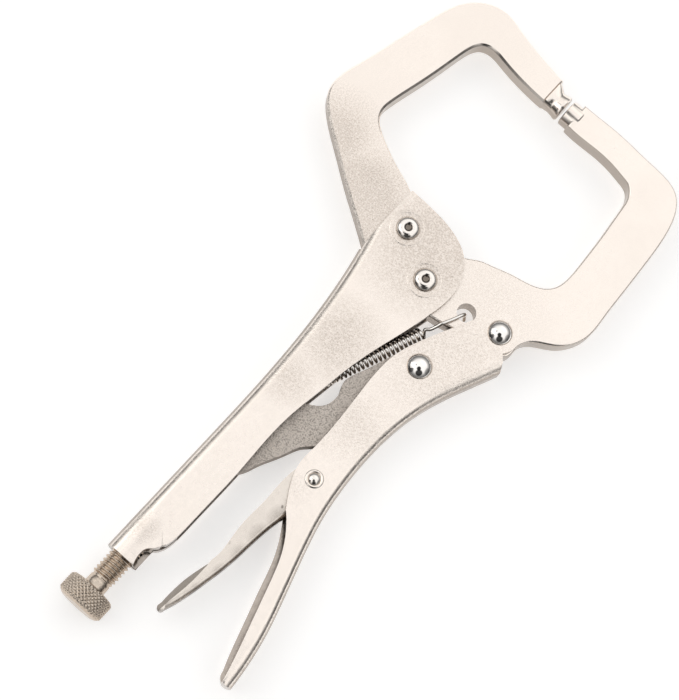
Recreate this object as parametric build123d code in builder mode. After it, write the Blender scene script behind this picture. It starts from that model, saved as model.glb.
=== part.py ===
from build123d import *
import math
import os

os.makedirs("parts", exist_ok=True)

# Locking C-clamp pliers, lying flat: the hinge axes run along Z, the adjusting
# screw along X, and the jaws are at +X.
# Millimetres. Z = 0 is the surface the pliers lie on.

# ---- placing -------------------------------------------------------------
X0 = 21.80            # screw-axis datum, so the box is centred on the origin
Y0 = 2.42
ZM = 5.90             # middle plane of the tool

# ---- driving dimensions ----------------------------------------------------
JAW_T = 5.0           # jaw plate
LINK_T = 3.6          # toggle link plate
SHEET = 1.3           # pressed handle sheet
CH_IN = 2.65          # channel half width, inside
CH_OUT = CH_IN + SHEET
LEVER_OUT = 2.45      # release lever half width, outside
LEVER_SHEET = 1.1
RUN = 0.05            # radial running clearance at a moving pivot
SNUG = 0.02           # radial clearance where a rivet is set in its own body
HEAD_Z = ZM           # rear rivet heads stand this far below the middle plane

A = (6.45, 3.11)      # fixed-jaw rivet
B = (-0.06, -7.85)    # moving-jaw pivot
C = (2.32, -28.60)    # moving jaw to lower handle
D = (-16.21, -20.20)  # lower handle to toggle link
E = (-51.66, -19.80)  # release lever pivot
F = (-63.00, 0.00)    # link end, where it bears on the screw tip
HOLE = (0.95, -19.85) # spring hole in the moving jaw
HOLE_R = 2.3

R_AB, R_C, R_D, R_E = 2.0, 1.9, 1.9, 1.0      # rivet shank radii
HR_AB, HR_C, HR_D, HR_E = 2.8, 2.95, 3.0, 1.4 # rivet head radii

PAD_R = 3.30          # clamping pads
PAD_X = 55.45
PAD_Z = -0.45         # the pads stand a little proud at the back
PAD_UP = -4.35        # fixed pad face
PAD_DN = -5.15        # moving pad face
NECK_Y = -1.9          # neck behind the fixed pad
NECK_R = 2.95
RING_R = 4.0          # pressed ring around the two frame rivets

SCREW_GAP = 2.0       # the screw stands this far off the link end
TAIL_X = -92.7        # rear end of the upper handle
THREAD_R = 2.96
PITCH = 1.0
KNOB_R = 5.9
KNOB_X0, KNOB_X1 = -107.15, -101.65
COLLAR_X1 = -99.45
TIP_X = F[0] - SCREW_GAP
DOG_L = 3.0


def P(x, y):
    return (x + X0, y + Y0)


def pts(*xy):
    return [P(x, y) for x, y in xy]


def mid(z):
    return Plane.XY.offset(ZM + z)


def soften(edges, *tries):
    """Round or bevel the edges of the part being built: first size that holds."""
    for kind, size in tries:
        try:
            if kind == "r":
                fillet(edges, radius=size)
            else:
                chamfer(edges, length=size)
            print("  edges", len(edges), kind, size)
            return
        except ValueError:
            continue
    print("  edges left sharp:", len(edges))


def pad_profile(y0, y1):
    """Half section of a round clamping pad with broken rims."""
    r, k = PAD_R, 0.25
    return pts((PAD_X, y0), (PAD_X + r - k, y0), (PAD_X + r, y0 + k),
               (PAD_X + r, y1 - k), (PAD_X + r - k, y1), (PAD_X, y1))


PAD_AXIS = Axis((X0 + PAD_X, 0, ZM + PAD_Z), (0, 1, 0))


# ---- fixed jaw ---------------------------------------------------------------
with BuildPart() as fixed_jaw:
    with BuildSketch(mid(-JAW_T / 2)):
        with BuildLine():
            o = Spline(pts((-3.1, 8.0), (1.4, 15.0), (5.8, 21.9), (9.2, 26.8),
                           (12.5, 31.7), (16.0, 36.2), (19.4, 38.9), (23.4, 39.5),
                           (30.0, 38.1), (43.5, 34.85), (51.3, 32.9), (56.6, 31.1),
                           (60.6, 28.1), (63.0, 24.2), (63.5, 20.0), (62.5, 15.5),
                           (61.2, 9.5), (60.5, 5.0), (59.8, 0.1)))
            Line(o @ 1, P(52.4, 0.1))
            i = Spline(pts((52.4, 0.1), (52.5, 4.0), (52.85, 8.6), (53.6, 13.8),
                           (54.0, 17.2), (53.2, 19.8), (51.2, 21.2), (48.3, 22.0),
                           (42.8, 23.0), (35.9, 24.4), (31.0, 25.55), (27.4, 26.3),
                           (24.9, 26.5), (22.7, 25.7), (20.4, 23.0), (18.3, 18.9),
                           (16.7, 15.2), (15.4, 11.4), (13.7, 7.9)))
            Line(i @ 1, P(13.05, 6.6))
            Line(P(13.05, 6.6), P(13.05, -1.9))
            Line(P(13.05, -1.9), P(10.6, -3.2))
            Line(P(10.6, -3.2), P(6.4, -3.2))
            Line(P(6.4, -3.2), P(-3.1, 3.0))
            Line(P(-3.1, 3.0), P(-3.1, 8.0))
        make_face()
    extrude(amount=JAW_T)
    # clearance around the moving jaw's hub
    with BuildSketch(mid(-JAW_T / 2)):
        with Locations(P(*B)):
            Circle(7.5)
    extrude(amount=JAW_T, mode=Mode.SUBTRACT)
    # rounded edges of the forging, outside the head only
    edge_set = [e for e in fixed_jaw.edges()
                if abs(abs(e.center().Z - ZM) - JAW_T / 2) < 0.01]
    soften(edge_set, ("c", 0.5), ("c", 0.3))
    # swaged clamping end: the plate draws in to a round neck that flares into the pad
    with BuildSketch(Plane.XZ.offset(-(Y0 + 0.3))):
        with Locations((X0 + 56.0, ZM)):
            RectangleRounded(7.2, JAW_T - 0.1, 1.3)
    with BuildSketch(Plane.XZ.offset(-(Y0 + NECK_Y - 0.05))):
        with Locations((X0 + PAD_X, ZM + PAD_Z)):
            Circle(NECK_R)
    loft()
    with BuildSketch(mid(PAD_Z)):
        with BuildLine():
            Line(P(PAD_X, NECK_Y), P(PAD_X + NECK_R, NECK_Y))
            Spline(pts((PAD_X + NECK_R, NECK_Y), (PAD_X + NECK_R + 0.12, NECK_Y - 0.45),
                       (PAD_X + PAD_R - 0.15, NECK_Y - 1.0), (PAD_X + PAD_R, NECK_Y - 1.5)))
            Line(P(PAD_X + PAD_R, NECK_Y - 1.5), P(PAD_X + PAD_R, PAD_UP + 0.35))
            Line(P(PAD_X + PAD_R, PAD_UP + 0.35), P(PAD_X + PAD_R - 0.35, PAD_UP))
            Line(P(PAD_X + PAD_R - 0.35, PAD_UP), P(PAD_X, PAD_UP))
            Line(P(PAD_X, PAD_UP), P(PAD_X, NECK_Y))
        make_face()
    revolve(axis=PAD_AXIS)
    # rivet hole
    with BuildSketch(mid(-JAW_T / 2)):
        with Locations(P(*A)):
            Circle(R_AB + SNUG)
    extrude(amount=JAW_T, mode=Mode.SUBTRACT)

# ---- moving jaw --------------------------------------------------------------
with BuildPart() as moving_jaw:
    with BuildSketch(mid(-JAW_T / 2)):
        with BuildLine():
            t = Spline(pts((3.0, -1.35), (6.6, -3.9), (9.3, -8.2), (11.2, -11.7),
                           (12.6, -13.9), (13.7, -16.9), (15.2, -21.4),
                           (16.5, -26.4), (17.9, -29.2), (20.0, -31.0), (23.6, -31.8),
                           (28.7, -31.65), (37.4, -31.0), (44.6, -30.2), (48.3, -29.5),
                           (50.4, -27.9), (51.3, -25.0), (51.9, -21.2), (52.1, -16.9),
                           (51.85, -12.0), (51.9, -7.6)))
            Line(t @ 1, P(58.8, -7.6))
            u = Spline(pts((58.8, -7.6), (58.9, -12.0), (59.1, -17.0), (59.0, -21.5),
                           (58.75, -26.0), (58.6, -30.5), (58.2, -34.2), (57.0, -37.3),
                           (54.6, -39.6), (50.6, -41.35), (45.6, -42.35), (37.4, -43.1),
                           (28.6, -43.65), (22.4, -44.05), (18.1, -44.35),
                           (15.1, -44.0), (12.0, -42.6), (9.5, -40.5), (7.4, -37.4),
                           (5.6, -35.0), (3.3, -33.8), (0.4, -33.75), (-1.9, -32.1),
                           (-3.2, -29.2), (-3.5, -25.0), (-3.9, -20.6), (-4.9, -17.0),
                           (-5.5, -13.5), (-6.9, -9.6)))
            ThreePointArc(u @ 1, P(-4.6, -2.3), P(3.0, -1.35))
        make_face()
    extrude(amount=JAW_T)
    edge_set = [e for e in moving_jaw.edges()
                if abs(abs(e.center().Z - ZM) - JAW_T / 2) < 0.01]
    soften(edge_set, ("r", 0.6), ("r", 0.4), ("c", 0.3))
    with BuildSketch(mid(PAD_Z)):
        with BuildLine():
            Polyline(*pad_profile(-9.0, PAD_DN), close=True)
        make_face()
    revolve(axis=PAD_AXIS)
    with BuildSketch(mid(-JAW_T / 2)):
        with Locations(P(*B)):
            Circle(R_AB + RUN)
        with Locations(P(*C)):
            Circle(R_C + RUN)
        with Locations(P(*HOLE)):
            Circle(HOLE_R)
    extrude(amount=JAW_T, mode=Mode.SUBTRACT)

# ---- upper handle: pressed channel, open below, rolled into a tube at the rear --
spine = pts((-4.3, 8.35), (-9.5, 7.3), (-17.0, 6.1), (-26.0, 5.1), (-35.0, 4.5),
            (-44.0, 4.2), (-56.0, 4.1), (-72.0, 4.1), (-86.0, 4.1), (TAIL_X, 4.1))
under = pts((TAIL_X, -3.3), (-90.3, -2.6), (-88.0, -3.0), (-86.6, -4.4),
            (-84.6, -5.6), (-82.0, -6.1), (-76.0, -6.25), (-68.0, -6.35),
            (-60.0, -6.3), (-52.0, -6.0), (-44.5, -6.25), (-36.0, -7.4),
            (-27.0, -8.75), (-20.0, -10.3), (-12.0, -12.5), (-5.0, -14.1),
            (0.5, -14.85), (5.0, -14.2), (8.6, -12.4), (11.3, -9.3), (13.0, -4.9),
            (13.8, 0.5), (14.05, 8.35))
with BuildPart() as upper_handle:
    with BuildSketch(mid(-CH_OUT)):
        with BuildLine():
            s = Spline(spine)
            Line(s @ 1, under[0])
            r = Spline(under)
            Line(r @ 1, spine[0])
        make_face()
    extrude(amount=2 * CH_OUT)
    long_edges = [e for e in upper_handle.edges()
                  if abs(abs(e.center().Z - ZM) - CH_OUT) < 0.01
                  and e.length > 85 and e.center().Y > Y0 + 2]
    soften(long_edges, ("r", 3.0), ("r", 2.4), ("r", 1.8), ("c", 2.0))
    # hollow of the channel
    with BuildSketch(mid(-CH_IN)):
        with BuildLine():
            q = Spline(pts((-4.3, 6.95), (-9.5, 5.9), (-17.0, 4.75), (-26.0, 3.75),
                           (-35.0, 3.15), (-44.0, 2.9), (-56.0, 2.8), (-72.0, 2.8),
                           (-81.5, 2.8)))
            Line(q @ 1, P(-81.5, -10.0))
            Line(P(-81.5, -10.0), P(-40.0, -20.0))
            Line(P(-40.0, -20.0), P(20.0, -20.0))
            Line(P(20.0, -20.0), P(20.0, 12.0))
            Line(P(20.0, 12.0), P(-4.3, 12.0))
            Line(P(-4.3, 12.0), P(-4.3, 6.95))
        make_face()
    hollow = extrude(amount=2 * CH_IN, mode=Mode.PRIVATE)
    inner_edges = [e for e in hollow.edges()
                   if abs(abs(e.center().Z - ZM) - CH_IN) < 0.01
                   and 70 < e.length < 90 and e.center().Y > Y0 + 2]
    print("  inner", len(inner_edges))
    add(hollow.fillet(1.7, inner_edges), mode=Mode.SUBTRACT)
    # tube for the screw
    with BuildSketch(Plane.YZ.offset(X0 + TAIL_X)):
        with Locations((Y0, ZM)):
            Circle(4.15)
    extrude(amount=11.6)
    with BuildSketch(Plane.YZ.offset(X0 + TAIL_X)):
        with Locations((Y0, ZM)):
            Circle(THREAD_R + 0.07)
    extrude(amount=31.0, mode=Mode.SUBTRACT)
    # the open seam under the tube, and the crimp scallops along it
    with BuildSketch(Plane.YZ.offset(X0 + TAIL_X)):
        with Locations((Y0 - 4.5, ZM + 0.1)):
            Rectangle(5.0, 1.7)
    extrude(amount=11.6, mode=Mode.SUBTRACT)
    with BuildSketch(mid(0)):
        with Locations(P(-89.8, -5.1)):
            Ellipse(2.2, 2.5)
        with Locations(P(-85.6, -7.0)):
            Ellipse(1.2, 2.1)
    extrude(amount=6, mode=Mode.SUBTRACT)
    # rivet holes
    with BuildSketch(mid(-CH_OUT)):
        with Locations(P(*A), P(*B)):
            Circle(R_AB + SNUG)
    extrude(amount=2 * CH_OUT, mode=Mode.SUBTRACT)
    # pressed rings around the rivets, front face
    for spot in (A, B):
        with Locations((*P(*spot), ZM + CH_OUT - 0.52)):
            Torus(RING_R, 0.62)
    # slot in the spine that holds the spring's rear hook
    with BuildSketch(Plane.XZ.offset(-(Y0 + 6.0))):
        with Locations((X0 - 39.0, ZM)):
            SlotOverall(5.0, 1.5)
    extrude(amount=5, mode=Mode.SUBTRACT)

# ---- lower handle: pressed channel, web on the outside ---------------------------
top = pts((4.95, -24.45), (3.0, -23.3), (0.6, -22.2), (-4.0, -20.0), (-8.5, -17.85),
          (-13.5, -15.7), (-18.5, -14.25), (-24.0, -13.9), (-31.5, -14.4),
          (-40.0, -15.0), (-47.0, -15.0), (-51.5, -15.0), (-55.2, -16.2),
          (-60.0, -19.0), (-65.0, -22.3), (-70.5, -24.95), (-76.5, -26.8),
          (-83.5, -29.0), (-90.0, -31.0), (-96.0, -33.1))
web = pts((-97.9, -37.1), (-92.0, -36.5), (-84.0, -35.0), (-75.0, -32.4),
          (-66.0, -29.6), (-57.0, -27.2), (-48.0, -25.9), (-39.0, -25.5),
          (-30.0, -26.1), (-21.2, -28.0), (-12.5, -31.3), (-4.46, -34.77))
with BuildPart() as lower_handle:
    with BuildSketch(mid(-CH_OUT)):
        with BuildLine():
            a = Spline(top)
            ThreePointArc(a @ 1, P(-98.3, -34.8), web[0])
            b = Spline(web)
            Line(b @ 1, P(-2.6, -33.6))
            Line(P(-2.6, -33.6), P(-1.0, -32.2))
            ThreePointArc(P(-1.0, -32.2), P(6.2, -31.4), top[0])
        make_face()
    extrude(amount=2 * CH_OUT)
    web_edges = [e for e in lower_handle.edges()
                 if abs(abs(e.center().Z - ZM) - CH_OUT) < 0.01
                 and e.length > 85 and e.center().Y < Y0 - 22]
    soften(web_edges, ("r", 2.4), ("r", 1.8), ("c", 1.6))
    with BuildSketch(mid(-CH_IN)):
        with BuildLine():
            c = Spline(pts((-96.4, -35.6), (-91.7, -35.1), (-83.6, -33.6),
                           (-74.6, -31.1), (-65.6, -28.3), (-56.7, -25.9),
                           (-47.8, -24.6), (-39.0, -24.2), (-30.3, -24.8),
                           (-21.7, -26.7), (-13.0, -30.0), (-4.2, -33.75)))
            Line(c @ 1, P(12.0, -41.0))
            Line(P(12.0, -41.0), P(12.0, 0.0))
            Line(P(12.0, 0.0), P(-96.4, 0.0))
            Line(P(-96.4, 0.0), c @ 0)
        make_face()
    hollow2 = extrude(amount=2 * CH_IN, mode=Mode.PRIVATE)
    inner_edges = [e for e in hollow2.edges()
                   if abs(abs(e.center().Z - ZM) - CH_IN) < 0.01
                   and 85 < e.length < 106 and e.center().Y < Y0 - 20]
    add(hollow2.fillet(1.1, inner_edges), mode=Mode.SUBTRACT)
    with Locations((*P(*E), ZM + CH_OUT - 0.25)):
        Torus(1.78, 0.45)
    # the front wall is trimmed lower than the rear one towards the tail
    with BuildSketch(mid(0)):
        with BuildLine():
            d = Spline(pts((-60.0, -18.4), (-63.5, -22.1), (-68.0, -25.1),
                           (-75.0, -27.8), (-83.5, -30.4), (-91.0, -32.7),
                           (-99.5, -34.9)))
            Line(d @ 1, P(-99.5, -15.0))
            Line(P(-99.5, -15.0), P(-60.0, -15.0))
            Line(P(-60.0, -15.0), d @ 0)
        make_face()
    extrude(amount=6, mode=Mode.SUBTRACT)
    with BuildSketch(mid(-CH_OUT)):
        with Locations(P(*C)):
            Circle(R_C + SNUG)
        with Locations(P(*D)):
            Circle(R_D + SNUG)
        with Locations(P(*E)):
            Circle(R_E + SNUG)
    extrude(amount=2 * CH_OUT, mode=Mode.SUBTRACT)

# ---- toggle link ---------------------------------------------------------------
with BuildPart() as toggle_link:
    with BuildSketch(mid(-LINK_T / 2)):
        with BuildLine():
            l1 = Spline(pts((-14.6, -15.9), (-18.5, -13.75), (-23.7, -11.95),
                            (-28.2, -10.15), (-30.2, -9.85), (-32.2, -10.6),
                            (-34.9, -10.95), (-36.8, -10.4), (-38.5, -8.9),
                            (-40.0, -6.2), (-42.5, -2.2), (-46.5, 0.6), (-52.0, 1.7),
                            (-58.0, 1.9), (-61.4, 1.6)))
            ThreePointArc(l1 @ 1, P(-63.0, 0.0), P(-62.9, -1.8))
            l2 = Spline(pts((-62.9, -1.8), (-62.8, -4.6), (-61.0, -6.7),
                            (-57.3, -8.3), (-53.9, -9.95), (-50.5, -11.5),
                            (-47.9, -12.75), (-46.6, -13.9), (-44.0, -16.2),
                            (-38.0, -18.6), (-30.0, -21.2), (-22.5, -23.4),
                            (-17.0, -24.6)))
            ThreePointArc(l2 @ 1, P(-11.8, -20.2), P(-14.6, -15.9))
        make_face()
    extrude(amount=LINK_T)
    rim = [e for e in toggle_link.edges()
           if abs(abs(e.center().Z - ZM) - LINK_T / 2) < 0.01 and e.length > 20]
    soften(rim, ("c", 0.25), ("c", 0.15))
    with BuildSketch(mid(-LINK_T / 2)):
        with Locations(P(*D)):
            Circle(R_D + RUN)
    extrude(amount=LINK_T, mode=Mode.SUBTRACT)

# ---- release lever ---------------------------------------------------------------
with BuildPart() as release_lever:
    with BuildSketch(mid(-LEVER_OUT)):
        with BuildLine():
            v1 = Spline(pts((-47.9, -16.9), (-50.0, -15.9), (-54.0, -14.9),
                            (-58.5, -14.75), (-63.0, -14.85), (-68.4, -14.6),
                            (-74.0, -15.0), (-78.0, -15.3), (-81.2, -14.7),
                            (-85.7, -13.6), (-90.4, -13.05), (-94.6, -13.0)))
            ThreePointArc(v1 @ 1, P(-95.9, -13.7), P(-95.2, -14.6))
            v2 = Spline(pts((-95.2, -14.6), (-92.0, -15.75), (-88.0, -16.75),
                            (-82.4, -17.9), (-76.0, -18.85), (-69.5, -19.4),
                            (-63.5, -20.3), (-57.0, -21.9), (-52.5, -22.75),
                            (-49.3, -22.3), (-47.2, -20.3)))
            Line(v2 @ 1, v1 @ 0)
        make_face()
    extrude(amount=2 * LEVER_OUT)
    lever_edges = [e for e in release_lever.edges()
                   if abs(abs(e.center().Z - ZM) - LEVER_OUT) < 0.01
                   and e.length > 40 and e.center().Y < Y0 - 17]
    soften(lever_edges, ("r", 1.2), ("c", 1.2))
    with BuildSketch(mid(-(LEVER_OUT - LEVER_SHEET))):
        with BuildLine():
            w = Spline(pts((-94.2, -13.85), (-91.6, -14.6), (-87.7, -15.6),
                           (-82.2, -16.75), (-75.9, -17.7), (-69.4, -18.25),
                           (-63.2, -19.15), (-56.7, -20.75), (-52.4, -21.6),
                           (-49.6, -21.2), (-44.5, -20.0)))
            Line(w @ 1, P(-44.5, -8.0))
            Line(P(-44.5, -8.0), P(-94.2, -8.0))
            Line(P(-94.2, -8.0), w @ 0)
        make_face()
    extrude(amount=2 * (LEVER_OUT - LEVER_SHEET), mode=Mode.SUBTRACT)
    # the front wall falls away before the tip
    with BuildSketch(mid(0)):
        with BuildLine():
            g = Spline(pts((-79.0, -14.9), (-83.0, -15.1), (-88.0, -14.9),
                           (-92.5, -14.3), (-97.0, -14.0)))
            Line(g @ 1, P(-97.0, -10.0))
            Line(P(-97.0, -10.0), P(-79.0, -10.0))
            Line(P(-79.0, -10.0), g @ 0)
        make_face()
    extrude(amount=5, mode=Mode.SUBTRACT)
    with BuildSketch(mid(-LEVER_OUT)):
        with Locations(P(*E)):
            Circle(R_E + RUN)
    extrude(amount=2 * LEVER_OUT, mode=Mode.SUBTRACT)


# ---- rivets: domed front head, shank, flat-topped rear head ----------------------
def dome_mid(r, z0, z1):
    """Middle point of a spherical cap's section, from its rim to its crown."""
    h = z1 - z0
    big = (r * r + h * h) / (2 * h)
    half = math.asin(r / big) / 2
    return (big * math.sin(half), z1 - big + big * math.cos(half))


def rivet_section(shank, head, rise, dimple):
    """Half section in the XZ plane: x is the radius, y is the height."""
    zf, zr, zb = ZM + CH_OUT, ZM - CH_OUT, ZM - HEAD_Z
    with BuildSketch(Plane.XZ) as sec:
        with BuildLine():
            Line((0, zb), (head - 0.45, zb))
            ThreePointArc((head - 0.45, zb), (head - 0.13, zb + 0.2), (head, zb + 0.6))
            Line((head, zb + 0.6), (head, zr))
            Line((head, zr), (shank, zr))
            Line((shank, zr), (shank, zf))
            Line((shank, zf), (head, zf))
            Line((head, zf), (head, zf + 0.12))
            if dimple:
                rim = (dimple + 0.22, zf + rise)
                ThreePointArc((head, zf + 0.12), (head * 0.86, zf + rise * 0.62), rim)
                ThreePointArc(rim, (dimple * 0.86, zf + rise - 0.12),
                              (dimple * 0.62, zf + rise - 0.38))
                Line((dimple * 0.62, zf + rise - 0.38), (0, zf + rise - 0.45))
                Line((0, zf + rise - 0.45), (0, zb))
            else:
                ThreePointArc((head, zf + 0.12), dome_mid(head, zf + 0.12, zf + rise),
                              (0, zf + rise))
                Line((0, zf + rise), (0, zb))
        make_face()
    return sec.sketch


sec_ab = rivet_section(R_AB, HR_AB, 1.15, 1.1)
sec_c = rivet_section(R_C, HR_C, 1.75, 0)
sec_d = rivet_section(R_D, HR_D, 1.75, 0)

with BuildPart() as fixed_jaw_rivet:
    add(sec_ab)
    revolve(axis=Axis.Z)
fixed_jaw_rivet.part = fixed_jaw_rivet.part.moved(Location((*P(*A), 0)))

with BuildPart() as main_pivot_rivet:
    add(sec_ab)
    revolve(axis=Axis.Z)
main_pivot_rivet.part = main_pivot_rivet.part.moved(Location((*P(*B), 0)))

with BuildPart() as handle_pivot_rivet:
    add(sec_c)
    revolve(axis=Axis.Z)
handle_pivot_rivet.part = handle_pivot_rivet.part.moved(Location((*P(*C), 0)))

with BuildPart() as link_rivet:
    add(sec_d)
    revolve(axis=Axis.Z)
link_rivet.part = link_rivet.part.moved(Location((*P(*D), 0)))

with BuildPart() as lever_rivet:
    with BuildSketch(Plane.XZ):
        with BuildLine():
            Polyline((0, ZM - CH_OUT - 0.6), (HR_E - 0.3, ZM - CH_OUT - 0.6),
                     (HR_E, ZM - CH_OUT - 0.3), (HR_E, ZM - CH_OUT),
                     (R_E, ZM - CH_OUT), (R_E, ZM + CH_OUT), (HR_E, ZM + CH_OUT))
            Line((HR_E, ZM + CH_OUT), (HR_E, ZM + CH_OUT + 0.1))
            ThreePointArc((HR_E, ZM + CH_OUT + 0.1),
                          dome_mid(HR_E, ZM + CH_OUT + 0.1, ZM + CH_OUT + 0.7),
                          (0, ZM + CH_OUT + 0.7))
            Line((0, ZM + CH_OUT + 0.7), (0, ZM - CH_OUT - 0.6))
        make_face()
    revolve(axis=Axis.Z)
lever_rivet.part = lever_rivet.part.moved(Location((*P(*E), 0)))

# ---- adjusting screw: knurled knob, collar, threaded shank ------------------------
ax = Axis((X0, Y0, ZM), (1, 0, 0))
THREAD_END = TIP_X - DOG_L
with BuildPart() as adjusting_screw:
    with BuildSketch(Plane.XY.offset(ZM)):
        with BuildLine():
            zig = [(KNOB_X0, 0), (KNOB_X0, 4.3), (KNOB_X0 + 0.35, 5.2),
                   (KNOB_X0 + 0.9, KNOB_R), (KNOB_X1 - 0.8, KNOB_R),
                   (KNOB_X1 - 0.25, 5.3), (KNOB_X1, 4.6), (KNOB_X1, 2.65),
                   (COLLAR_X1, 2.65), (COLLAR_X1, THREAD_R - 0.5)]
            x = COLLAR_X1 + 0.3
            while x + PITCH < THREAD_END - 0.3:
                zig += [(x, THREAD_R - 0.5), (x + 0.42 * PITCH, THREAD_R),
                        (x + 0.58 * PITCH, THREAD_R), (x + PITCH, THREAD_R - 0.5)]
                x += PITCH
            zig += [(THREAD_END, THREAD_R - 0.5), (THREAD_END, 0)]
            clean = [zig[0]]
            for p in zig[1:]:
                if math.dist(p, clean[-1]) > 1e-6:
                    clean.append(p)
            Polyline(*pts(*clean), close=True)
        make_face()
    revolve(axis=ax)

with BuildPart() as screw_tip:
    with BuildSketch(Plane.XY.offset(ZM)):
        with BuildLine():
            Polyline(*pts((THREAD_END, 0), (THREAD_END, 2.3), (TIP_X - 0.5, 2.3),
                          (TIP_X, 1.8), (TIP_X, 0)), close=True)
        make_face()
    revolve(axis=ax)

# ---- tension spring ------------------------------------------------------------
WIRE = 0.37
COIL_R = 1.18
s0 = Vector(-9.2, -15.35, 0.0)
s1 = Vector(-33.2, -5.95, 0.0)
run = s1 - s0
length = run.length
d = run.normalized()
side = Vector(-d.Y, d.X, 0)
turns = 16
per = 12
path = []


def sp(v):
    return (v.X + X0, v.Y + Y0, v.Z + ZM)


n = turns * per
for k in range(n + 1):
    ang = 2 * math.pi * k / per
    c0 = s0 + d * (length * k / n)
    path.append(c0 + side * (COIL_R * math.cos(ang)) + Vector(0, 0, COIL_R * math.sin(ang)))
front = [Vector(0.55, -19.75, -1.1), Vector(0.2, -19.7, 1.4), Vector(-0.75, -19.3, 2.75),
         Vector(-2.6, -18.5, 3.0), Vector(-5.2, -17.3, 3.0), Vector(-7.6, -15.9, 2.6),
         Vector(-8.7, -14.9, 1.4)]
rear = [Vector(-34.9, -4.5, -0.6), Vector(-36.8, -2.3, -0.3), Vector(-38.4, 0.6, 0.0),
        Vector(-39.0, 2.6, 0.0), Vector(-39.1, 3.6, 0.0)]
with BuildPart() as spring:
    with BuildLine() as wire_line:
        Spline([sp(v) for v in front + path + rear])
    with BuildSketch(Plane(origin=wire_line.line @ 0, z_dir=wire_line.line % 0)):
        Circle(WIRE)
    sweep(path=wire_line.line)

# ---- export ----------------------------------------------------------------------
upper_handle.part.label = "upper_handle"
fixed_jaw.part.label = "fixed_jaw"
fixed_jaw_rivet.part.label = "fixed_jaw_rivet"
main_pivot_rivet.part.label = "main_pivot_rivet"
moving_jaw.part.label = "moving_jaw"
lower_handle.part.label = "lower_handle"
handle_pivot_rivet.part.label = "handle_pivot_rivet"
toggle_link.part.label = "toggle_link"
link_rivet.part.label = "link_rivet"
release_lever.part.label = "release_lever"
lever_rivet.part.label = "lever_rivet"
adjusting_screw.part.label = "adjusting_screw"
screw_tip.part.label = "screw_tip"
spring.part.label = "spring"

export_step(upper_handle.part, "parts/upper_handle.step")
export_step(fixed_jaw.part, "parts/fixed_jaw.step")
export_step(fixed_jaw_rivet.part, "parts/fixed_jaw_rivet.step")
export_step(main_pivot_rivet.part, "parts/main_pivot_rivet.step")
export_step(moving_jaw.part, "parts/moving_jaw.step")
export_step(lower_handle.part, "parts/lower_handle.step")
export_step(handle_pivot_rivet.part, "parts/handle_pivot_rivet.step")
export_step(toggle_link.part, "parts/toggle_link.step")
export_step(link_rivet.part, "parts/link_rivet.step")
export_step(release_lever.part, "parts/release_lever.step")
export_step(lever_rivet.part, "parts/lever_rivet.step")
export_step(adjusting_screw.part, "parts/adjusting_screw.step")
export_step(screw_tip.part, "parts/screw_tip.step")
export_step(spring.part, "parts/spring.step")

for made in (upper_handle, fixed_jaw, fixed_jaw_rivet, main_pivot_rivet,
             moving_jaw, lower_handle, handle_pivot_rivet, toggle_link,
             link_rivet, release_lever, lever_rivet, adjusting_screw,
             screw_tip, spring):
    bb = made.part.bounding_box()
    print(made.part.label, "vol %.1f" % made.part.volume, "solids", len(made.part.solids()),
          "x %.2f..%.2f y %.2f..%.2f z %.2f..%.2f" % (bb.min.X, bb.max.X, bb.min.Y,
                                                     bb.max.Y, bb.min.Z, bb.max.Z))
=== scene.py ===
import bpy, bmesh, math
from mathutils import Matrix, Vector, noise


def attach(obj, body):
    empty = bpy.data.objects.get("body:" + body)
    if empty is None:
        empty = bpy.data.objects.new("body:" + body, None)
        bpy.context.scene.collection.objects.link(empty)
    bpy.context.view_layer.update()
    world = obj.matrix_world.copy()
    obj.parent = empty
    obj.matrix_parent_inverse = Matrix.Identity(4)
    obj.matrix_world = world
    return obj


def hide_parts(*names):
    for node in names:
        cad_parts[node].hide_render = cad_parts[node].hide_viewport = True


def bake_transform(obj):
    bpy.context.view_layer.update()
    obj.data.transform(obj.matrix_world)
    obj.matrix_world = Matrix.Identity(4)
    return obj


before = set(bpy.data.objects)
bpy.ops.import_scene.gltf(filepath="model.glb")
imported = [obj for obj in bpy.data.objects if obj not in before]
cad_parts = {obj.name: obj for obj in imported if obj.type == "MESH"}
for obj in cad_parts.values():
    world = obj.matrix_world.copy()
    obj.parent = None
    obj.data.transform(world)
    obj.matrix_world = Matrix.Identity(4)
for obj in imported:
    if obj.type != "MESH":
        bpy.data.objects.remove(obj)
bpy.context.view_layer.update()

MM = 0.001
X0, Y0, ZM = 21.80, 2.42, 5.90          # screw-axis datum and middle plane, mm
A, B, C, D, E = (6.45, 3.11), (-0.06, -7.85), (2.32, -28.60), (-16.21, -20.20), (-51.66, -19.80)
CH_OUT = 3.95


def W(x, y, z=0.0):
    """Tool millimetres to row-frame metres."""
    return Vector(((x + X0) * MM, (y + Y0) * MM, (z + ZM) * MM))


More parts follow.
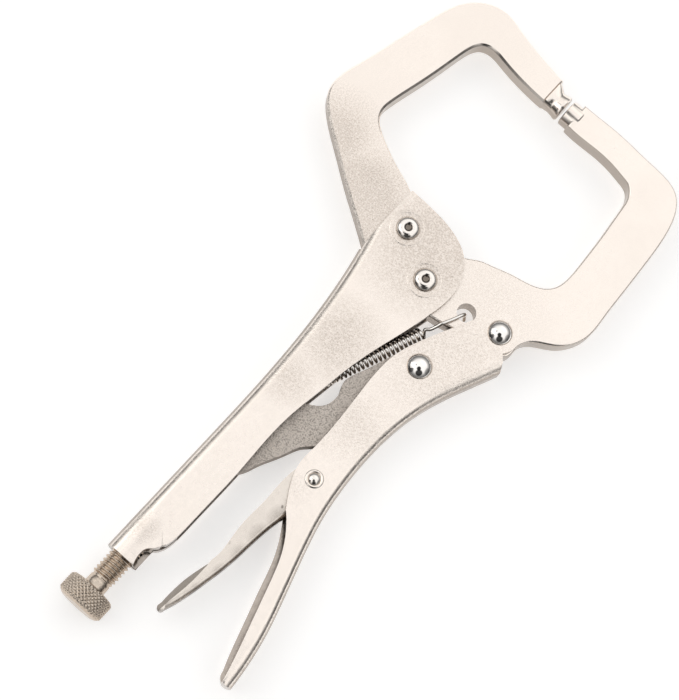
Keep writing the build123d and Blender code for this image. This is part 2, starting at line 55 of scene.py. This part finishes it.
# ---------------------------------------------------------------- materials
def material(name, base, rough, grain=0.0, grain_size=0.45, blotch=0.06, scratches=0.3,
             masks=None, dulling_and_shade=0.0, side_shade=0.7, tint_dark=0.7, floor_grain=0.12, pits=0.0, wide=False, rim_highlight=0.0,
             dimples=None, inner=None):
    """Plated steel: tone and roughness that wander, blasted grain, fine handling scratches.

    masks are (x, y, inner radius, outer radius) in tool millimetres, where the grain is strong and the tone is
    darkened; on the release lever that darkening is painted shade along the spine side.
    The side tone is painted shade, multiplied onto faces turned away from ±Z (sheared edges, side faces and bends)
    against the pressed faces.
    """
    m = bpy.data.materials.new(name)
    m.use_nodes = True
    nt = m.node_tree
    nt.nodes.clear()
    N, L = nt.nodes.new, nt.links.new
    out = N("ShaderNodeOutputMaterial")
    bsdf = N("ShaderNodeBsdfPrincipled")
    L(bsdf.outputs[0], out.inputs[0])
    bsdf.inputs["Metallic"].default_value = 1.0
    tc = N("ShaderNodeTexCoord")

    def tex_noise(scale, detail=3.0, rough_=0.55, stretch=None):
        t = N("ShaderNodeTexNoise")
        t.inputs["Scale"].default_value = scale
        t.inputs["Detail"].default_value = detail
        t.inputs["Roughness"].default_value = rough_
        if stretch:
            mp = N("ShaderNodeMapping")
            mp.inputs["Scale"].default_value = stretch[0]
            mp.inputs["Rotation"].default_value = stretch[1]
            L(tc.outputs["Object"], mp.inputs["Vector"])
            L(mp.outputs["Vector"], t.inputs["Vector"])
        else:
            L(tc.outputs["Object"], t.inputs["Vector"])
        return t.outputs["Fac"]

    def ramp(src, lo, hi, a=0.0, b=1.0):
        r = N("ShaderNodeMapRange")
        r.inputs["From Min"].default_value = lo
        r.inputs["From Max"].default_value = hi
        r.inputs["To Min"].default_value = a
        r.inputs["To Max"].default_value = b
        L(src, r.inputs["Value"])
        return r.outputs["Result"]

    def mathn(op, a, b, clamp=False):
        n = N("ShaderNodeMath")
        n.operation = op
        n.use_clamp = clamp
        for i, v in enumerate((a, b)):
            if isinstance(v, (int, float)):
                n.inputs[i].default_value = v
            else:
                L(v, n.inputs[i])
        return n.outputs[0]

    cloud = tex_noise(60.0, 4.0)                         # wandering plating tone
    fine = tex_noise(1.0 / (grain_size * MM), 2.0, 0.6)  # blasted grain
    mid = tex_noise(0.35 / (grain_size * MM), 3.0, 0.6)
    scr1 = tex_noise(90.0, 4.0, 0.7, ((1.0, 40.0, 40.0), (0.2, 0.1, 0.35)))
    scr2 = tex_noise(70.0, 4.0, 0.7, ((40.0, 1.0, 40.0), (0.1, 0.25, 0.9)))
    lines = mathn("MAXIMUM", ramp(scr1, 0.66, 0.74), ramp(scr2, 0.68, 0.76))
    mask = None
    for px, py, r0, r1 in masks or ():
        sep = N("ShaderNodeVectorMath")
        sep.operation = "DISTANCE"
        L(tc.outputs["Object"], sep.inputs[0])
        sep.inputs[1].default_value = W(px, py)
        one = ramp(sep.outputs["Value"], r0 * MM, r1 * MM, 1.0, floor_grain)
        mask = one if mask is None else mathn("MAXIMUM", mask, one)
    if mask is not None:                                 # the grain's border is ragged
        mask = mathn("MULTIPLY", mask, ramp(cloud, 0.3, 0.6, 0.65, 1.0))
    # colour
    tone = ramp(cloud, 0.35, 0.65, 0.82, 1.0)
    g = mathn("MULTIPLY", ramp(fine, 0.36, 0.64, -0.6, 0.4), grain)
    if mask is not None:
        g = mathn("MULTIPLY", g, mask)
        tone = mathn("SUBTRACT", tone, mathn("MULTIPLY", mask, dulling_and_shade))
    tone = mathn("ADD", tone, g, True)
    if pits:
        spot = tex_noise(420.0, 2.0, 0.5)
        tone = mathn("SUBTRACT", tone, mathn("MULTIPLY", ramp(spot, 0.70, 0.78), pits), True)
    mix = N("ShaderNodeMixRGB")
    mix.inputs[1].default_value = (base[0] * tint_dark, base[1] * tint_dark * 0.97, base[2] * tint_dark * 0.94, 1)
    mix.inputs[2].default_value = (*base, 1)
    L(tone, mix.inputs[0])
    face = N("ShaderNodeSeparateXYZ")
    L(tc.outputs["Normal"], face.inputs[0])
    up_ = mathn("ABSOLUTE", face.outputs["Z"], 0.0)
    # painted shade: faces turned away from ±Z (sheared edges, side faces, bends, the round sides of the screw and
    # spring) take the darker side tone
    side_shade_mix = N("ShaderNodeMixRGB")
    side_shade_mix.blend_type = "MULTIPLY"
    side_shade_mix.inputs[2].default_value = (side_shade, side_shade * 0.955, side_shade * 0.91, 1)
    lo_, hi_ = (0.30, 0.985) if wide else (0.35, 0.75)
    shade = ramp(up_, lo_, hi_, 1.0, 0.0)
    if wide:                                             # painted shade also covers the bend; the bend is grainy, so the border of that shade is ragged
        shade = mathn("ADD", shade, mathn("MULTIPLY", mathn("MULTIPLY", ramp(fine, 0.36, 0.64, -0.5, 0.5), 0.8),
                                          ramp(up_, 0.80, 0.995, 1.0, 0.0)), True)
    if inner:                                            # painted shade: faces inside the channel, between its two sides, are darkened
        place = N("ShaderNodeSeparateXYZ")
        L(tc.outputs["Object"], place.inputs[0])
        depth = mathn("ABSOLUTE", mathn("SUBTRACT", place.outputs["Z"], ZM * MM), 0.0)
        shade = mathn("MAXIMUM", shade, ramp(depth, (inner + 0.05) * MM, (inner + 0.25) * MM, 0.85, 0.0))
    L(shade, side_shade_mix.inputs[0])
    edge_highlight_mix = N("ShaderNodeMixRGB")                         # painted highlight: faces of the bevels and rounded edges are brightened
    edge_highlight_mix.inputs[2].default_value = (*[min(1.0, c * 1.06) for c in base], 1)
    L(mathn("MULTIPLY", mathn("MULTIPLY", ramp(up_, 0.55, 0.70, 0.0, 1.0), ramp(up_, 0.93, 0.985, 1.0, 0.0)), rim_highlight),
      edge_highlight_mix.inputs[0])
    L(mix.outputs[0], side_shade_mix.inputs[1])
    L(side_shade_mix.outputs[0], edge_highlight_mix.inputs[1])
    colour = edge_highlight_mix.outputs[0]
    for px, py, pr in dimples or ():                     # struck dimple: its inside is darkened with painted shade
        flat = N("ShaderNodeVectorMath")
        flat.operation = "MULTIPLY"
        L(tc.outputs["Object"], flat.inputs[0])
        flat.inputs[1].default_value = (1, 1, 0)
        away = N("ShaderNodeVectorMath")
        away.operation = "DISTANCE"
        L(flat.outputs[0], away.inputs[0])
        p_ = W(px, py)
        away.inputs[1].default_value = (p_.x, p_.y, 0)
        dimple_shade = N("ShaderNodeMixRGB")
        dimple_shade.blend_type = "MULTIPLY"
        dimple_shade.inputs[2].default_value = (0.22, 0.20, 0.18, 1)
        L(ramp(away.outputs["Value"], pr * 0.80 * MM, pr * MM, 1.0, 0.0), dimple_shade.inputs[0])
        L(colour, dimple_shade.inputs[1])
        colour = dimple_shade.outputs[0]
    L(colour, bsdf.inputs["Base Color"])
    # roughness
    rr = mathn("ADD", ramp(cloud, 0.3, 0.7, rough - blotch, rough + blotch),
               mathn("MULTIPLY", ramp(mid, 0.3, 0.7, -0.5, 0.5), 0.12))
    rr = mathn("ADD", rr, mathn("MULTIPLY", lines, 0.10 * scratches))
    gr = mathn("MULTIPLY", ramp(fine, 0.3, 0.7, 0.0, 1.0), 0.22 * grain)
    if mask is not None:
        gr = mathn("MULTIPLY", gr, mask)
    rr = mathn("ADD", rr, gr, True)
    L(rr, bsdf.inputs["Roughness"])
    # bump
    h = mathn("MULTIPLY", fine, grain)
    if mask is not None:
        h = mathn("MULTIPLY", h, mask)
    h = mathn("SUBTRACT", h, mathn("MULTIPLY", lines, 0.12 * scratches))
    h = mathn("ADD", h, mathn("MULTIPLY", cloud, 0.15))
    bump = N("ShaderNodeBump")
    bump.inputs["Strength"].default_value = 1.0
    bump.inputs["Distance"].default_value = 0.00010
    L(h, bump.inputs["Height"])
    L(bump.outputs["Normal"], bsdf.inputs["Normal"])
    return m


NICKEL = (0.95, 0.87, 0.80)
mats = {
    "upper_handle": material("upper_handle", NICKEL, 0.22, grain=1.1, grain_size=0.40, dulling_and_shade=0.50, side_shade=0.40, wide=True,
                             masks=[(6, -4, 8, 20), (-24, -3, 4, 14), (-38, 0, 3, 9), (-85, 1, 2, 6)],
                             floor_grain=0.06, rim_highlight=0.8, inner=2.65),
    "fixed_jaw": material("fixed_jaw", NICKEL, 0.20, grain=1.3, grain_size=0.42, dulling_and_shade=0.62, side_shade=0.50,
                          masks=[(3, 17, 9, 18), (12, 31, 5, 14), (0, 10, 6, 12)], floor_grain=0.08, rim_highlight=1.0),
    "moving_jaw": material("moving_jaw", NICKEL, 0.20, grain=0.5, grain_size=0.40, side_shade=0.46,
                           masks=[(4, -18, 8, 22)], dulling_and_shade=0.14, rim_highlight=1.0),
    "lower_handle": material("lower_handle", NICKEL, 0.20, grain=0.8, grain_size=0.40, dulling_and_shade=0.18, side_shade=0.46, wide=True,
                             masks=[(-10, -22, 8, 24), (-36, -18, 4, 12), (-56, -18, 2, 6)], pits=0.3, rim_highlight=0.8,
                             inner=2.65),
    "toggle_link": material("toggle_link", (0.66, 0.60, 0.545), 0.38, grain=1.3, grain_size=0.36, tint_dark=0.42,
                            side_shade=0.6),
    # on the release lever the masks and their strong darkening are painted shade along the spine side, where the
    # curved sheet turns from the light; the inside of its channel is darkened too
    "release_lever": material("release_lever", (0.84, 0.77, 0.70), 0.25, grain=0.45, grain_size=0.40, pits=0.9,
                              side_shade=0.30, wide=True, tint_dark=0.36, rim_highlight=0.6, inner=1.3, dulling_and_shade=0.95, floor_grain=0.0,
                              masks=[(-52, -22.5, 1.5, 5), (-57, -22.3, 1.5, 5.5), (-63, -21.2, 1.3, 5),
                                     (-69, -20.3, 1.2, 4.6), (-75, -19.8, 1.0, 4.2), (-81, -19, 1.0, 3.8),
                                     (-87, -17.6, 0.8, 3.3)]),
    "rivet": material("rivet", (0.92, 0.87, 0.82), 0.10, grain=0.12, grain_size=0.3, blotch=0.03, side_shade=0.5,
                      dimples=[(*A, 1.12), (*B, 1.12)]),
    "mirror_rivet": material("mirror_rivet", (0.97, 0.94, 0.91), 0.04, grain=0.03, grain_size=0.3, blotch=0.015,
                             scratches=0.2, side_shade=0.8),
    "adjusting_screw": material("adjusting_screw", (0.66, 0.57, 0.48), 0.20, grain=0.35, grain_size=0.35,
                                tint_dark=0.45, side_shade=0.95),
    "spring": material("spring", (0.90, 0.87, 0.83), 0.12, grain=0.1, grain_size=0.2, side_shade=0.9),
}
node_mat = {
    "fixed_jaw_rivet": "rivet", "main_pivot_rivet": "rivet", "lever_rivet": "rivet",
    "handle_pivot_rivet": "mirror_rivet", "link_rivet": "mirror_rivet",
    "screw_tip": "adjusting_screw",
}


def dress(obj, mat):
    obj.data.materials.clear()
    obj.data.materials.append(mat)


for n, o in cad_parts.items():
    dress(o, mats[node_mat.get(n, n)])
    weld = o.modifiers.new("weld", "WELD")
    weld.merge_threshold = 0.000002
    if n not in ("spring", "adjusting_screw"):
        bev = o.modifiers.new("round", "BEVEL")
        bev.width = {"upper_handle": 0.00042, "lower_handle": 0.00042, "release_lever": 0.00030}.get(n, 0.00018)
        bev.segments = 3
        bev.limit_method = "ANGLE"
        bev.angle_limit = math.radians(40)
        bev.harden_normals = False
    for p in o.data.polygons:
        p.use_smooth = True
    sm = o.modifiers.new("normals", "WEIGHTED_NORMAL")
    sm.keep_sharp = True


# ---------------------------------------------------------------- adjusting screw
def shell(name, verts, faces, mat):
    me = bpy.data.meshes.new(name)
    me.from_pydata([tuple(v) for v in verts], [], faces)
    me.validate()
    bm = bmesh.new()
    bm.from_mesh(me)
    bmesh.ops.recalc_face_normals(bm, faces=bm.faces)
    bm.to_mesh(me)
    bm.free()
    for p in me.polygons:
        p.use_smooth = True
    o = bpy.data.objects.new(name, me)
    bpy.context.scene.collection.objects.link(o)
    me.materials.append(mat)
    return o


def tri(t):
    """Triangle wave, 0 at whole numbers and 1 half way between."""
    t = t - math.floor(t)
    return 1.0 - abs(2.0 * t - 1.0)


KNOB_R, KNOB_X0, KNOB_X1, COLLAR_X1, THREAD_R, PITCH = 5.9, -107.15, -101.65, -99.45, 2.96, 1.0
THREAD_END = -68.0
rings = []                                   # (x, radius as a function of the angle)
NK, AXIAL = 34, 1.05                         # knurl teeth round the knob, axial pitch


def knurl_ring(x, edge):
    """One ring of the knurled band; edge falls to 0 where the teeth run out at the bevels."""
    def r(th):
        u = th * NK / (2 * math.pi)
        v = (x - KNOB_X0) / AXIAL
        return (min(tri(u + v), tri(u - v)) ** 0.8) * 0.42 * edge
    return r


def add_ring(x, radius, relief=None):
    rings.append((x, radius, relief))


for x, r in ((KNOB_X0 + 0.02, 0.6), (KNOB_X0, 2.2), (KNOB_X0, 3.9), (KNOB_X0 + 0.06, 4.4), (KNOB_X0 + 0.25, 4.85)):
    add_ring(x, r)
steps = 54
x_a, x_b = KNOB_X0 + 0.45, KNOB_X1 - 0.2
for k in range(steps + 1):
    t = k / steps
    x = x_a + (x_b - x_a) * t
    from_a, from_b = (x - x_a), (x_b - x)
    round_a = 0.75 * max(0.0, 1 - from_a / 0.9) ** 2
    round_b = 0.65 * max(0.0, 1 - from_b / 0.8) ** 2
    edge = min(1.0, 0.35 + from_a / 0.7, 0.35 + from_b / 0.7)
    add_ring(x, KNOB_R - 0.42 * edge - round_a - round_b, knurl_ring(x, edge))
for x, r in ((KNOB_X1 - 0.05, 4.55), (KNOB_X1, 4.3), (KNOB_X1, 3.2), (KNOB_X1 + 0.02, 2.80),
             (KNOB_X1 + 0.2, 2.66), (KNOB_X1 + 1.1, 2.65), (COLLAR_X1 - 0.1, 2.62), (COLLAR_X1, 2.5)):
    add_ring(x, r)
per = 10
turns_ = int((THREAD_END - 0.4 - COLLAR_X1 - 0.2) / PITCH * per)


def thread_ring(x):
    def r(th):
        t = tri(x / PITCH - th / (2 * math.pi))
        return 0.52 * min(1.0, max(0.0, (t - 0.08) / 0.74))
    return r


for k in range(turns_ + 1):
    x = COLLAR_X1 + 0.2 + k * PITCH / per
    run_out = min(1.0, k / 6.0, (turns_ - k) / 6.0)
    add_ring(x, THREAD_R - 0.52, (lambda f, s_: (lambda th: f(th) * s_))(thread_ring(x), run_out))
add_ring(THREAD_END, 2.35)
SEG = 272
sv, sf = [], []
for x, r0, relief in rings:
    for j in range(SEG):
        th = 2 * math.pi * j / SEG
        r = r0 + (relief(th) if relief else 0.0)
        sv.append(W(x, r * math.cos(th), r * math.sin(th)))
for i in range(len(rings) - 1):
    for j in range(SEG):
        k = (j + 1) % SEG
        sf.append((i * SEG + j, i * SEG + k, (i + 1) * SEG + k, (i + 1) * SEG + j))
first, last = len(sv), len(sv) + 1
sv += [W(KNOB_X0 + 0.05, 0, 0), W(THREAD_END, 0, 0)]
for j in range(SEG):
    k = (j + 1) % SEG
    sf.append((first, k, j))
    sf.append((last, (len(rings) - 1) * SEG + j, (len(rings) - 1) * SEG + k))
knob = shell("screw_knurled", sv, sf, mats["adjusting_screw"])
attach(knob, "screw")
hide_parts("adjusting_screw")

# ---------------------------------------------------------------- tension spring
s0, s1 = Vector((-9.2, -15.35, 0)), Vector((-33.2, -5.95, 0))
d_ = (s1 - s0).normalized()
side_ = Vector((-d_.y, d_.x, 0))
COIL_R, WIRE, TURNS = 1.33, 0.40, 23


def smooth_path(points, n=8):
    """Catmull-Rom through the given points."""
    out_ = []
    for i in range(len(points) - 1):
        p0, p1 = points[max(i - 1, 0)], points[i]
        p2, p3 = points[i + 1], points[min(i + 2, len(points) - 1)]
        for k in range(n):
            t = k / n
            out_.append(0.5 * ((2 * p1) + (p2 - p0) * t + (2 * p0 - 5 * p1 + 4 * p2 - p3) * t * t
                               + (3 * p1 - p0 - 3 * p2 + p3) * t ** 3))
    out_.append(points[-1])
    return out_


coil = []
for k in range(TURNS * 20 + 1):
    ang = 2 * math.pi * k / 20
    c_ = s0 + (s1 - s0) * (k / (TURNS * 20))
    coil.append(c_ + side_ * (COIL_R * math.cos(ang)) + Vector((0, 0, COIL_R * math.sin(ang))))
hook_f = [Vector(v) for v in ((0.35, -20.4, -1.3), (0.75, -19.9, 0.4), (0.45, -19.75, 2.2), (-0.5, -19.4, 3.0),
                              (-2.6, -18.5, 3.05), (-4.9, -17.4, 3.0), (-6.3, -16.8, 2.3), (-7.5, -16.2, 1.75), (-8.4, -15.4, 1.45))]
hook_r = [Vector(v) for v in ((-34.9, -4.5, -0.6), (-36.8, -2.3, -0.3), (-38.4, 0.6, 0.0), (-39.0, 2.6, 0.0),
                              (-39.1, 3.6, 0.0))]
line_ = smooth_path(hook_f + [coil[0]])[:-1] + coil + smooth_path([coil[-1]] + hook_r)[1:]
wv, wf = [], []
RS = 12
ref = Vector((0, 0, 1))
for i, p in enumerate(line_):
    t = (line_[min(i + 1, len(line_) - 1)] - line_[max(i - 1, 0)]).normalized()
    ref = (ref - t * ref.dot(t)).normalized()
    b_ = t.cross(ref)
    for j in range(RS):
        a_ = 2 * math.pi * j / RS
        q = p + ref * (WIRE * math.cos(a_)) + b_ * (WIRE * math.sin(a_))
        wv.append(W(q.x, q.y, q.z))
for i in range(len(line_) - 1):
    for j in range(RS):
        k = (j + 1) % RS
        wf.append((i * RS + j, i * RS + k, (i + 1) * RS + k, (i + 1) * RS + j))
wf.append(tuple(range(RS)))
wf.append(tuple((len(line_) - 1) * RS + j for j in range(RS)))
wire = shell("spring_wire", wv, wf, mats["spring"])
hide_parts("spring")
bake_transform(wire)

# ---------------------------------------------------------------- stage
floor_me = bpy.data.meshes.new("floor")
floor_me.from_pydata([(-2, -2, -0.0002), (2, -2, -0.0002), (2, 2, -0.0002), (-2, 2, -0.0002)], [], [(0, 1, 2, 3)])
floor = bpy.data.objects.new("floor", floor_me)
bpy.context.scene.collection.objects.link(floor)
fm = bpy.data.materials.new("paper")
fm.use_nodes = True
fb = fm.node_tree.nodes["Principled BSDF"]
fb.inputs["Base Color"].default_value = (0.70, 0.70, 0.70, 1)
fb.inputs["Roughness"].default_value = 0.95
fb.inputs["Specular IOR Level"].default_value = 0.1
fb.inputs["Emission Color"].default_value = (1.0, 0.995, 0.99, 1)     # a lit table under the paper
fb.inputs["Emission Strength"].default_value = 0.52
floor_me.materials.append(fm)

world = bpy.data.worlds.new("studio")
bpy.context.scene.world = world
world.use_nodes = True
wn = world.node_tree
wn.nodes.clear()
WN, WL = wn.nodes.new, wn.links.new
w_out = WN("ShaderNodeOutputWorld")
w_bg = WN("ShaderNodeBackground")
WL(w_bg.outputs[0], w_out.inputs[0])
w_tc = WN("ShaderNodeTexCoord")
w_sep = WN("ShaderNodeSeparateXYZ")
WL(w_tc.outputs["Generated"], w_sep.inputs[0])
w_ramp = WN("ShaderNodeValToRGB")          # a big soft tent: bright overhead, dark low down
WL(w_sep.outputs["Z"], w_ramp.inputs[0])
stops = [(0.0, 0.13), (0.28, 0.24), (0.44, 0.50), (0.60, 0.88), (0.80, 1.0), (1.0, 1.0)]
el = w_ramp.color_ramp.elements
el[0].position, el[0].color = stops[0][0], (*[stops[0][1]] * 3, 1)
el[1].position, el[1].color = stops[-1][0], (*[stops[-1][1]] * 3, 1)
for p, v in stops[1:-1]:
    e = el.new(p)
    e.color = (v, v * 0.99, v * 0.98, 1)


def w_spot(direction, inner, outer, value):
    """A soft-edged patch of the tent around a direction: 1 outside it, value inside."""
    d = WN("ShaderNodeVectorMath")
    d.operation = "DOT_PRODUCT"
    n = WN("ShaderNodeVectorMath")
    n.operation = "NORMALIZE"
    WL(w_tc.outputs["Generated"], n.inputs[0])
    WL(n.outputs[0], d.inputs[0])
    d.inputs[1].default_value = Vector(direction).normalized()
    m = WN("ShaderNodeMapRange")
    m.interpolation_type = "SMOOTHSTEP"
    m.inputs["From Min"].default_value = math.cos(math.radians(outer))
    m.inputs["From Max"].default_value = math.cos(math.radians(inner))
    m.inputs["To Min"].default_value = 1.0
    m.inputs["To Max"].default_value = value
    WL(d.outputs["Value"], m.inputs["Value"])
    return m.outputs["Result"]


def w_mul(a, b):
    n = WN("ShaderNodeMath")
    n.operation = "MULTIPLY"
    for i, v in enumerate((a, b)):
        if isinstance(v, (int, float)):
            n.inputs[i].default_value = v
        else:
            WL(v, n.inputs[i])
    return n.outputs[0]


strength = w_mul(w_spot((-0.27, -0.12, 0.955), 12, 18, 0.03), 1.08)    # the dark camera side
strength = w_mul(strength, w_spot((-0.60, -0.46, 0.65), 20, 28, 0.05))
strength = w_mul(strength, w_spot((-0.12, 0.50, 0.86), 4, 8, 0.2))   # a gap between the tent's panels
strength = w_mul(strength, w_spot((-0.75, 0.55, 0.35), 16, 26, 0.2))  # dark flags beside the tent
strength = w_mul(strength, w_spot((0.25, -0.95, 0.35), 14, 24, 0.5))
strength = w_mul(strength, w_spot((0.9, -0.1, 0.45), 10, 46, 1.2))
WL(w_ramp.outputs[0], w_bg.inputs["Color"])
WL(w_mul(strength, 1.0), w_bg.inputs["Strength"])


def area(name, loc, target, size, power, color=(1, 1, 1), size_y=None):
    l = bpy.data.lights.new(name, "AREA")
    l.energy = power
    l.color = color
    l.size = size
    if size_y:
        l.shape = "RECTANGLE"
        l.size_y = size_y
    o = bpy.data.objects.new(name, l)
    bpy.context.scene.collection.objects.link(o)
    o.location = loc
    d = Vector(target) - Vector(loc)
    o.rotation_euler = d.to_track_quat("-Z", "Y").to_euler()
    return o


area("key", (-0.35, 0.75, 0.70), (0, 0, 0), 0.80, 1.6, (1, 0.98, 0.95))

cam_d = bpy.data.cameras.new("camera")
cam = bpy.data.objects.new("camera", cam_d)
bpy.context.scene.collection.objects.link(cam)
right = Vector((0.6598, -0.7439, 0.1060)).normalized()
up = Vector((0.7113, 0.6638, 0.2309))
back = right.cross(up).normalized()
up = back.cross(right).normalized()
cam.matrix_world = Matrix((
    (right.x, up.x, back.x, -0.11830),
    (right.y, up.y, back.y, -0.03828),
    (right.z, up.z, back.z, 0.46630),
    (0, 0, 0, 1)))
cam_d.sensor_width = 36.0
cam_d.lens = 107.69
cam_d.clip_start = 0.01
bpy.context.scene.camera = cam

sc = bpy.context.scene
sc.view_settings.view_transform = "Standard"
sc.view_settings.exposure = 0.0
